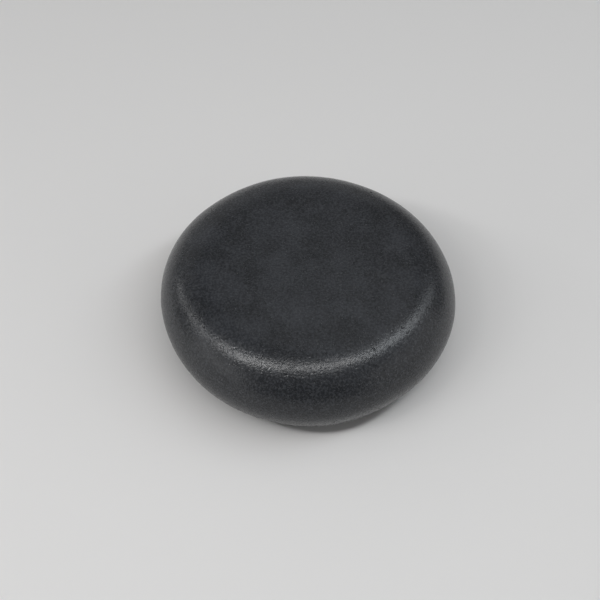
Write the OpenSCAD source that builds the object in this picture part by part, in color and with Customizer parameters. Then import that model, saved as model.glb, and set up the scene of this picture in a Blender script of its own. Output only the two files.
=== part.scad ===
// Basalt massage stone: one solid, tumbled pebble of dark, fine-grained rock.
// It is nearly round in plan, with two broad faces and an edge rounded all the way round.
// The origin is the centre of the face it lies on, and +Z points up. All sizes are in millimetres.

/* [Stone] */
// Diameter of the stone, seen from above
stone_d = 80; // [60:1:100]
// Thickness at its middle, from the face it lies on to the top
stone_h = 27.5; // [26:0.5:32]

/* [Edge] */
// Radius of the curve at the rim, as a share of half the thickness
rim_share = 0.73; // [0.4:0.01:0.8]
// Radius of the wider curve between the rim and each broad face, as a share of half the thickness
shoulder_share = 1.05; // [1.05:0.05:1.5]
// Height of the rim's widest line, as a share of the thickness
rim_level = 0.49; // [0.46:0.01:0.51]

/* [Natural shape] */
// Radius of the upper face's very shallow crown
crown_r = 500; // [500:50:1500]
// How far the outline strays from a circle, in and out
outline_waver = 0.2; // [0:0.05:1]
// How far the rim's widest line rises and falls on its way round
rim_waver = 0.4; // [0:0.05:1]

/* [Smoothness] */
// Steps around the stone
around = 96; // [48:8:96]
// Steps on each of the two wider curves
shoulder_steps = 9; // [4:1:10]
// Steps on the rim's curve
rim_steps = 4; // [2:1:5]

/* [Colour] */
// Colour of the rock
stone_colour = "#3B3E42"; // ["#3B3E42":Blue black, "#2B2B2B":Black, "#4A4C4E":Grey]

/* [Hidden] */
crown_steps = 2;

// The edge's section is made of round curves that run into each other. Each point of it is
// [distance from the axis, height].
rim_r = rim_share * stone_h / 2;
shoulder_r = shoulder_share * stone_h / 2;
rim_c = [stone_d / 2 - rim_r, stone_h * rim_level];
crown_c = [0, stone_h - crown_r];
// The lower wider curve leaves the flat face level, and runs into the rim's curve
low_c = [rim_c.x - sqrt(pow(shoulder_r - rim_r, 2) - pow(shoulder_r - rim_c.y, 2)), shoulder_r];
// The upper wider curve runs into the crown's and into the rim's
high_c = upper_crossing(crown_c, crown_r - shoulder_r, rim_c, shoulder_r - rim_r);

// Angles at which one curve hands over to the next
low_a = heading(low_c, rim_c);
high_a = heading(high_c, rim_c);
crown_a = heading(crown_c, high_c);

section = concat(
    arc(low_c, shoulder_r, -90, low_a, shoulder_steps),
    tail(arc(rim_c, rim_r, low_a, high_a, rim_steps)),
    tail(arc(high_c, shoulder_r, high_a, crown_a, shoulder_steps)),
    tail(arc(crown_c, crown_r, crown_a, (crown_a + 90) / 2, crown_steps)));
rings = len(section);

// Where two circles cross, on the side that is higher up
function upper_crossing(a, ra, b, rb) =
    let (gap = norm(b - a), dir = (b - a) / gap,
         along = (ra * ra - rb * rb + gap * gap) / (2 * gap),
         side = sqrt(ra * ra - along * along))
    a + along * dir + side * [-dir.y, dir.x];

// Direction from one point to another, in degrees from the outward radius
function heading(from, to) = atan2(to.y - from.y, to.x - from.x);

// Points along a round curve, from one angle to another
function arc(centre, r, from, to, steps) =
    [for (i = [0:steps]) let (a = from + (to - from) * i / steps) centre + r * [cos(a), sin(a)]];

// A list without its first point, which the curve before it already ends on
function tail(points) = [for (i = [1:len(points) - 1]) points[i]];

// How far the outline lies outside its circle in one direction
function outline_shift(a) =
    outline_waver * (0.3 * sin(3 * a) + 0.5 * cos(4 * a + 50) + 0.35 * cos(6 * a + 100));

// How far a point is lifted by the rim's rise and fall, which fades out towards both faces
function level_shift(a, z) = rim_waver * sin(180 * z / stone_h) * cos(2 * a + 40);

// A point of the stone's skin: one point of the section, turned to one direction
function skin_point(p, a) =
    let (r = p.x + outline_shift(a))
    [r * cos(a), r * sin(a), p.y + level_shift(a, p.y)];

// The stone is a stack of rings of points, from the flat face's edge up to the crown's middle
module stone() {
    points = concat(
        [for (p = section, i = [0:around - 1]) skin_point(p, 360 * i / around)],
        [[0, 0, stone_h]]);
    flat_face = [for (i = [0:around - 1]) i];
    sides = [for (k = [0:rings - 2], i = [0:around - 1])
        let (j = (i + 1) % around, low = k * around, high = low + around)
        each [[low + i, high + j, low + j], [low + i, high + i, high + j]]];
    crown = [for (i = [0:around - 1])
        let (last = (rings - 1) * around)
        [last + i, len(points) - 1, last + (i + 1) % around]];
    color(stone_colour) polyhedron(points, concat([flat_face], sides, crown));
}

stone();
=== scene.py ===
import math
import random

import bmesh
import bpy
from mathutils import Matrix, Vector, kdtree, noise


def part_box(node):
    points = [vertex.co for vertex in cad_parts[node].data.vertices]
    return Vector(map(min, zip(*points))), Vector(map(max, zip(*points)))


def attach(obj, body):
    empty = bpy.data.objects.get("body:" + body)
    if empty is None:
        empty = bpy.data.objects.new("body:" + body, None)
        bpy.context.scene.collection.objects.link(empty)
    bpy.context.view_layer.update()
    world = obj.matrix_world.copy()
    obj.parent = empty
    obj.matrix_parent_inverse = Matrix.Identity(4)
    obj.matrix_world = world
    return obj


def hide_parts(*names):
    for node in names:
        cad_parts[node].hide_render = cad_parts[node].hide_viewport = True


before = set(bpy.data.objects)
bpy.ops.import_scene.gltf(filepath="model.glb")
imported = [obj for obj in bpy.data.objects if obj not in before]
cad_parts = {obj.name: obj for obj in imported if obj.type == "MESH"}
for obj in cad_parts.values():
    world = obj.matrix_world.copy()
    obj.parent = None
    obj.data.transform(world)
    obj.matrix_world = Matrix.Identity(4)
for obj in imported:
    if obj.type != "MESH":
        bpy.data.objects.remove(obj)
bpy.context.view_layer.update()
print("frame loaded:", ", ".join(sorted(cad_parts)))

mm = 0.001
low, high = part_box("stone")
stoneMiddle = Vector((0, 0, (low.z + high.z) / 2))


# a socket in a material, with Python's own arithmetic
class Wire:
    def __init__(self, tree, socket=None):
        self.tree = tree
        self.socket = socket

    def node(self, kind, settings, inputs, output=0):
        made = self.tree.nodes.new(kind)
        for name, value in settings.items():
            setattr(made, name, value)
        for name, value in inputs.items():
            if isinstance(value, Wire):
                self.tree.links.new(value.socket, made.inputs[name])
            else:
                made.inputs[name].default_value = value
        return Wire(self.tree, made.outputs[output] if made.outputs else None)

    def maths(self, operation, first, second):
        return self.node("ShaderNodeMath", {"operation": operation}, {0: first, 1: second})

    def __add__(self, other):
        return self.maths("ADD", self, other)

    def __radd__(self, other):
        return self.maths("ADD", other, self)

    def __sub__(self, other):
        return self.maths("SUBTRACT", self, other)

    def __rsub__(self, other):
        return self.maths("SUBTRACT", other, self)

    def __mul__(self, other):
        return self.maths("MULTIPLY", self, other)

    def __rmul__(self, other):
        return self.maths("MULTIPLY", other, self)

    def magnitude(self):
        return self.node("ShaderNodeMath", {"operation": "ABSOLUTE"}, {0: self})


def newMaterial(name):
    material = bpy.data.materials.new(name)
    material.use_nodes = True
    material.node_tree.nodes.clear()
    return material, Wire(material.node_tree)


def link(piece):
    bpy.context.scene.collection.objects.link(piece)
    return piece


def applyModifiers(piece):
    graph = bpy.context.evaluated_depsgraph_get()
    finished = bpy.data.meshes.new_from_object(piece.evaluated_get(graph))
    piece.modifiers.clear()
    piece.data = finished


stone = {
    "voxel": 0.46 * mm,        # spacing of the skin's mesh
    "mergeWithin": 0.001 * mm,
    "flatAngle": 12,           # the design's facets are paired below this angle, in degrees
    "squareAngle": 60,         # and where the pair is no further than this from a rectangle
    "smoothing": 2,            # subdivisions of the design's faces
    "relaxing": 4,             # rounds of smoothing on the even mesh
    "waves": (                 # length and greatest depth
        (17 * mm, 0.16 * mm),
        (6.5 * mm, 0.045 * mm),
        (2.6 * mm, 0.014 * mm),
    ),
    "waveMiddle": 0.35,        # a wave's usual depth, as a share of its greatest
    "waveSwing": 0.7,
    "pitCount": 80,
    "pitRadius": (0.2 * mm, 0.45 * mm),
    "pitDepth": 0.4,           # as a share of the pit's radius
    "pitReach": 1.4,           # how far round a pit the mesh is finer, in pit radii
    "pitCuts": 2,
    "pitPower": 1.5,           # how steeply a pit's wall falls
    "seed": 11,
}


def makeGuide(cadNode):
    # the design's facets, merged, paired into four-sided faces and smoothed
    mesh = bpy.data.meshes.new("guide")
    bm = bmesh.new()
    bm.from_mesh(cadNode.data)
    bmesh.ops.remove_doubles(bm, verts=bm.verts, dist=stone["mergeWithin"])
    bmesh.ops.join_triangles(bm, faces=bm.faces,
                             angle_face_threshold=math.radians(stone["flatAngle"]),
                             angle_shape_threshold=math.radians(stone["squareAngle"]))
    bm.to_mesh(mesh)
    bm.free()
    guide = link(bpy.data.objects.new("guide", mesh))
    smooth = guide.modifiers.new("smooth", "SUBSURF")
    smooth.levels = smooth.render_levels = stone["smoothing"]
    applyModifiers(guide)
    return guide


def makeSkin(guide):
    # an even mesh over the whole stone, laid back onto the smooth guide
    skin = link(bpy.data.objects.new("basalt_stone", guide.data.copy()))
    even = skin.modifiers.new("even", "REMESH")
    even.mode = "VOXEL"
    even.voxel_size = stone["voxel"]
    relax = skin.modifiers.new("relax", "SMOOTH")
    relax.iterations = stone["relaxing"]
    onto = skin.modifiers.new("onto", "SHRINKWRAP")
    onto.target = guide
    onto.wrap_method = "NEAREST_SURFACEPOINT"
    applyModifiers(skin)
    bpy.data.objects.remove(guide)
    return skin


def waveDepth(place):
    # how far the tumbled surface lies under the design's, from broad swells to small ones
    depth = 0
    for length, most in stone["waves"]:
        share = stone["waveMiddle"] + stone["waveSwing"] * noise.noise(place / length)
        depth += most * max(0, share)
    return depth


def choosePits(bm, dice):
    bm.faces.ensure_lookup_table()
    smallest, largest = stone["pitRadius"]
    pits = []
    while len(pits) < stone["pitCount"]:
        face = dice.choice(bm.faces)
        radius = smallest + (largest - smallest) * dice.random() ** 2
        pits.append((face.calc_center_median(), radius))
    return pits


def vertexTree(bm):
    tree = kdtree.KDTree(len(bm.verts))
    for vertex in bm.verts:
        tree.insert(vertex.co, vertex.index)
    tree.balance()
    return tree


def sinkPits(bm, pits):
    # the mesh is made finer round each pit before its floor is pushed in
    bm.verts.ensure_lookup_table()
    tree = vertexTree(bm)
    near = set()
    for centre, radius in pits:
        for found in tree.find_range(centre, radius * stone["pitReach"] + stone["voxel"]):
            near.add(bm.verts[found[1]])
    edges = [edge for edge in bm.edges if edge.verts[0] in near and edge.verts[1] in near]
    bmesh.ops.subdivide_edges(bm, edges=edges, cuts=stone["pitCuts"], use_grid_fill=True)
    bm.verts.index_update()
    bm.verts.ensure_lookup_table()
    bm.normal_update()
    tree = vertexTree(bm)
    sunk = {}
    for centre, radius in pits:
        for place, index, gap in tree.find_range(centre, radius):
            bowl = (1 - (gap / radius) ** 2) ** stone["pitPower"]
            sunk[index] = max(sunk.get(index, 0), bowl * radius * stone["pitDepth"])
    for index, depth in sunk.items():
        bm.verts[index].co -= bm.verts[index].normal * depth


def carve(skin):
    bm = bmesh.new()
    bm.from_mesh(skin.data)
    bm.normal_update()
    moves = [vertex.normal * waveDepth(vertex.co) for vertex in bm.verts]
    for vertex, move in zip(bm.verts, moves):
        vertex.co -= move
    sinkPits(bm, choosePits(bm, random.Random(stone["seed"])))
    bmesh.ops.triangulate(bm, faces=[face for face in bm.faces if len(face.verts) > 4])
    bmesh.ops.recalc_face_normals(bm, faces=bm.faces)
    for face in bm.faces:
        face.smooth = True
    bm.to_mesh(skin.data)
    bm.free()


basalt = {
    "darkColour": (0.0109, 0.0122, 0.0147, 1),
    "paleColour": (0.0332, 0.0362, 0.0418, 1),
    "speckColour": (0.085, 0.088, 0.092, 1),
    "upperEdge": (1 * mm, 6 * mm),  # depths under the top over which the worn face becomes edge
    "lowerEdge": (0.5 * mm, 4 * mm),  # heights over which the lower face does
    "cloudSize": 13 * mm,
    "cloudDetail": 6,
    "cloudRoughness": 0.7,
    "cloudShare": 0.55,        # the clouds' share of the tone, the rest being grain
    "toneRange": (0.4, 0.6),
    "grainSize": 0.58 * mm,
    "grainDetail": 1.5,
    "grainHeight": 0.038 * mm,
    "facetSize": 0.5 * mm,     # crystals that catch the light
    "facetHeight": 0.05 * mm,
    "facetLeast": 0.25,        # the lowest crystals' height, added to all of them
    "facetRange": (0.72, 1.0),
    "speckSize": 0.36 * mm,
    "speckRange": (0.84, 0.98),
    "speckMix": 0.16,
    "edgeGrain": 0.4,          # how much coarser the edge's relief is than the worn faces'
    # how much the edge's tone is darkened: painted shade on the side wall
    "edgePaintedShade": 0.7,
    "edgeSpeckle": 0.6,
    "edgeSpeckleRange": (0.5, 0.64),
    "rippleSize": 1.7 * mm,
    "rippleDetail": 2,
    "rippleHeight": 0.014 * mm,
    "poreSize": 1.15 * mm,
    "poreRange": (0.6, 0.64),
    "poreReach": 0.17,         # a pore's radius, as a share of the space between pores
    "poreDepth": 0.05 * mm,
    # how much a pore's middle is darkened: painted shade in the hollow
    "porePaintedShade": 0.7,
    "poreRough": 0.25,
    "scratchHeadings": (0.95, -0.7),  # in radians
    "scratchLength": 16 * mm,
    "scratchGap": 3.2 * mm,
    "scratchWidth": 0.022,
    "scratchPatch": 6 * mm,    # size of the patches that have scratches
    "scratchRange": (0.66, 0.72),
    "scratchDepth": 0.012 * mm,
    "scratchPale": 0.1,
    "scratchRough": 0.15,
    "roughness": 0.27,
    "roughnessSpread": 0.16,
    "refraction": 1.5,
}


def basaltMaterial():
    material, start = newMaterial("basalt")
    place = start.node("ShaderNodeTexCoord", {}, {}, output="Object")

    def noiseAt(size, detail, roughness=0.5, where=place):
        inputs = {"Vector": where, "Scale": 1 / size, "Detail": detail, "Roughness": roughness}
        return start.node("ShaderNodeTexNoise", {}, inputs, output="Fac")

    def cellsAt(size, output):
        return start.node("ShaderNodeTexVoronoi", {}, {"Vector": place, "Scale": 1 / size}, output)

    def channel(colour, output):
        return start.node("ShaderNodeSeparateColor", {}, {"Color": colour}, output)

    def between(value, noneAt, fullAt):
        # 0 at the first limit, 1 at the second, and even between them
        inputs = {"Value": value, "From Min": noneAt, "From Max": fullAt}
        return start.node("ShaderNodeMapRange", {}, inputs, output="Result")

    def blend(factor, first, second):
        inputs = {"Factor": factor, "A": first, "B": second}
        return start.node("ShaderNodeMix", {"data_type": "RGBA"}, inputs, output="Result")

    def scratchesAlong(heading):
        # thin lines where a long, narrow noise crosses its middle, kept only here and there
        across = 1 / basalt["scratchGap"]
        stretch = (across, 1 / basalt["scratchLength"], across)
        turned = start.node("ShaderNodeMapping", {}, {"Vector": place, "Rotation": (0, 0, heading)})
        streaks = start.node("ShaderNodeVectorMath", {"operation": "MULTIPLY"},
                             {0: turned, 1: stretch})
        fromMiddle = (noiseAt(1, 1, where=streaks) - 0.5).magnitude()
        patches = noiseAt(basalt["scratchPatch"], 1, where=turned)
        lines = between(fromMiddle, basalt["scratchWidth"], 0.0)
        return lines * between(patches, *basalt["scratchRange"])

    # the edge, between the two broad faces, is less worn than they are, so its grain and specks are
    # coarser; its tone is also darkened there as painted shade on the side wall
    level = start.node("ShaderNodeSeparateXYZ", {}, {"Vector": place}, output="Z")
    upper = [high.z - depth for depth in basalt["upperEdge"]]
    edge = between(level, *upper) * between(level, *basalt["lowerEdge"])
    # slow clouds of tone, fine mineral grain, and scattered pale specks
    clouds = noiseAt(basalt["cloudSize"], basalt["cloudDetail"], basalt["cloudRoughness"])
    grain = noiseAt(basalt["grainSize"], basalt["grainDetail"])
    mottle = clouds * basalt["cloudShare"] + grain * (1 - basalt["cloudShare"])
    # the tone, darkened on the edge as painted shade
    toneWithPaintedShade = between(mottle, *basalt["toneRange"]) * (1 - edge * basalt["edgePaintedShade"])
    edgeTone = edge * between(grain, *basalt["edgeSpeckleRange"]) * basalt["edgeSpeckle"]
    speckPick = channel(cellsAt(basalt["speckSize"], "Color"), "Red")
    specks = between(speckPick, *basalt["speckRange"])
    # crystals, each a low cone, some of them tall and steep enough to glint
    facetPick = channel(cellsAt(basalt["facetSize"], "Color"), "Blue")
    facetRise = basalt["facetLeast"] + between(facetPick, *basalt["facetRange"])
    facets = cellsAt(basalt["facetSize"], "Distance") * facetRise
    # pinhole pores, each a small round hollow in some of the cells, its colour darkened towards its
    # middle as painted shade
    porePick = channel(cellsAt(basalt["poreSize"], "Color"), "Green")
    poreBowl = between(cellsAt(basalt["poreSize"], "Distance"), basalt["poreReach"], 0.0)
    pores = poreBowl * between(porePick, *basalt["poreRange"])
    ripple = noiseAt(basalt["rippleSize"], basalt["rippleDetail"])
    firstWay, secondWay = basalt["scratchHeadings"]
    scratches = scratchesAlong(firstWay) + scratchesAlong(secondWay)

    body = blend(toneWithPaintedShade + edgeTone, basalt["darkColour"], basalt["paleColour"])
    pale = specks * (1 + edge) * basalt["speckMix"] + scratches * basalt["scratchPale"]
    colour = blend(pale, body, basalt["speckColour"])
    # painted shade inside the pores
    colour = blend(pores * basalt["porePaintedShade"], colour, basalt["darkColour"])
    rough = (basalt["roughness"] + (grain - 0.5) * basalt["roughnessSpread"]
             + pores * basalt["poreRough"] + scratches * basalt["scratchRough"])
    relief = grain * basalt["grainHeight"] - facets * basalt["facetHeight"]
    height = (relief * (1 + edge * basalt["edgeGrain"]) + ripple * basalt["rippleHeight"]
              - pores * basalt["poreDepth"] - scratches * basalt["scratchDepth"])
    bump = start.node("ShaderNodeBump", {}, {"Strength": 1.0, "Distance": 1.0, "Height": height})
    shader = start.node("ShaderNodeBsdfPrincipled", {}, {
        "Base Color": colour, "Roughness": rough, "Normal": bump, "IOR": basalt["refraction"]})
    start.node("ShaderNodeOutputMaterial", {}, {"Surface": shader})
    return material


guide = makeGuide(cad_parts["stone"])
skin = makeSkin(guide)
print("skin laid over the design:", len(skin.data.polygons), "faces")
carve(skin)
skin.data.materials.clear()
skin.data.materials.append(basaltMaterial())
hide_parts("stone")
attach(skin, "root")
print("stone carved and finished:", len(skin.data.polygons), "faces")


studio = {
    "floorSize": 14.0,
    "floorColour": (0.78, 0.772, 0.765, 1),
    "floorRoughness": 0.6,
    "skyColour": (1.0, 1.0, 1.0, 1),
    "skyStrength": 0.15,
    # an arch of overhead lights, each mirrored by one stretch of the shoulder: the stretch's
    # heading, its slope where the light shows, and the light's level and breadth
    "arch": ((198, 42, 3.6, 0.05), (216, 41, 6.4, 0.05), (234, 38, 12.6, 0.05),
             (243, 36, 8.5, 0.045), (252, 34, 13.5, 0.05), (270, 31, 14.0, 0.05),
             (288, 28.5, 10.8, 0.055), (306, 28, 7.3, 0.07), (324, 29, 5.4, 0.09),
             (342, 31, 1.8, 0.1)),
    "archDistance": 0.6,
    "archLength": 0.19,
    "coolFrom": 300,           # the heading from which the arch's light is a little cooler
    "plainColour": (1.0, 1.0, 1.0),
    "coolColour": (0.92, 0.965, 1.0),
    "panelDistance": 3.0,
    "panels": (                # azimuth, elevation, width, height and level of the large soft lights
        (206, 12, 2.5, 1.5, 1.05),
        (347, 16, 3.5, 2.0, 0.57),
        (110, 22, 4.0, 2.0, 0.22),
        (60, 65, 2.5, 1.5, 0.33),
    ),
}

view = {
    "distance": 480 * mm,
    "elevation": 51.8,
    "roll": 2.03,
    "lens": 106.1,
    "sensor": 36,
    "aim": (-2.16 * mm, -1.29 * mm),  # how far right of and above the stone's middle it is aimed
}


def direction(azimuth, elevation):
    a, e = math.radians(azimuth), math.radians(elevation)
    return Vector((math.cos(e) * math.cos(a), math.cos(e) * math.sin(a), math.sin(e)))


def facing(back, up):
    # a turn whose own Z runs along back and whose own Y leans towards up
    right = up.cross(back).normalized()
    return Matrix((right, back.cross(right), back)).transposed().to_4x4()


def makeCamera():
    back = direction(270, view["elevation"])
    turn = facing(back, Vector((0, 0, 1)))
    aimX, aimY = view["aim"]
    target = stoneMiddle + turn.to_3x3() @ Vector((aimX, aimY, 0))
    data = bpy.data.cameras.new("camera")
    data.lens = view["lens"]
    data.sensor_width = view["sensor"]
    camera = link(bpy.data.objects.new("camera", data))
    roll = Matrix.Rotation(math.radians(view["roll"]), 4, "Z")
    camera.matrix_world = Matrix.Translation(target + back * view["distance"]) @ turn @ roll
    bpy.context.scene.camera = camera


def makeLight(name, spot, along, size, level, colour):
    data = bpy.data.lights.new(name, "AREA")
    data.shape = "RECTANGLE"
    data.size, data.size_y = size
    data.energy = level * size[0] * size[1] * math.pi
    data.color = colour
    lamp = link(bpy.data.objects.new(name, data))
    back = spot.normalized()
    lamp.matrix_world = Matrix.Translation(stoneMiddle + spot) @ facing(back, back.cross(along))


def makeLights():
    # each overhead light hangs where its stretch of the shoulder mirrors it to the camera
    seen = direction(270, view["elevation"])
    arch = studio["arch"]
    slopes = [direction(heading, 90 - tilt) for heading, tilt, level, breadth in arch]
    spots = [(2 * seen.dot(slope) * slope - seen) * studio["archDistance"] for slope in slopes]
    for index, (heading, tilt, level, breadth) in enumerate(arch):
        ahead = spots[min(index + 1, len(spots) - 1)] - spots[max(index - 1, 0)]
        isCool = heading > studio["coolFrom"]
        colour = studio["coolColour"] if isCool else studio["plainColour"]
        size = (studio["archLength"], breadth)
        makeLight("arch%d" % index, spots[index], ahead, size, level, colour)
    for index, (azimuth, elevation, width, height, level) in enumerate(studio["panels"]):
        spot = direction(azimuth, elevation) * studio["panelDistance"]
        along = Vector((0, 0, 1)).cross(spot)
        makeLight("panel%d" % index, spot, along, (width, height), level, studio["plainColour"])


def makeFloor():
    mesh = bpy.data.meshes.new("floor")
    bm = bmesh.new()
    bmesh.ops.create_grid(bm, x_segments=2, y_segments=2, size=studio["floorSize"] / 2)
    bm.to_mesh(mesh)
    bm.free()
    floor = link(bpy.data.objects.new("floor", mesh))
    material, start = newMaterial("paleFloor")
    shader = start.node("ShaderNodeBsdfPrincipled", {},
                        {"Base Color": studio["floorColour"], "Roughness": studio["floorRoughness"]})
    start.node("ShaderNodeOutputMaterial", {}, {"Surface": shader})
    mesh.materials.append(material)


def makeSky():
    world = bpy.data.worlds.new("sky")
    world.use_nodes = True
    world.node_tree.nodes.clear()
    start = Wire(world.node_tree)
    glow = start.node("ShaderNodeBackground", {},
                      {"Color": studio["skyColour"], "Strength": studio["skyStrength"]})
    start.node("ShaderNodeOutputWorld", {}, {"Surface": glow})
    bpy.context.scene.world = world


makeCamera()
makeLights()
makeFloor()
makeSky()
bpy.context.scene.view_settings.view_transform = "Standard"
print("studio ready")
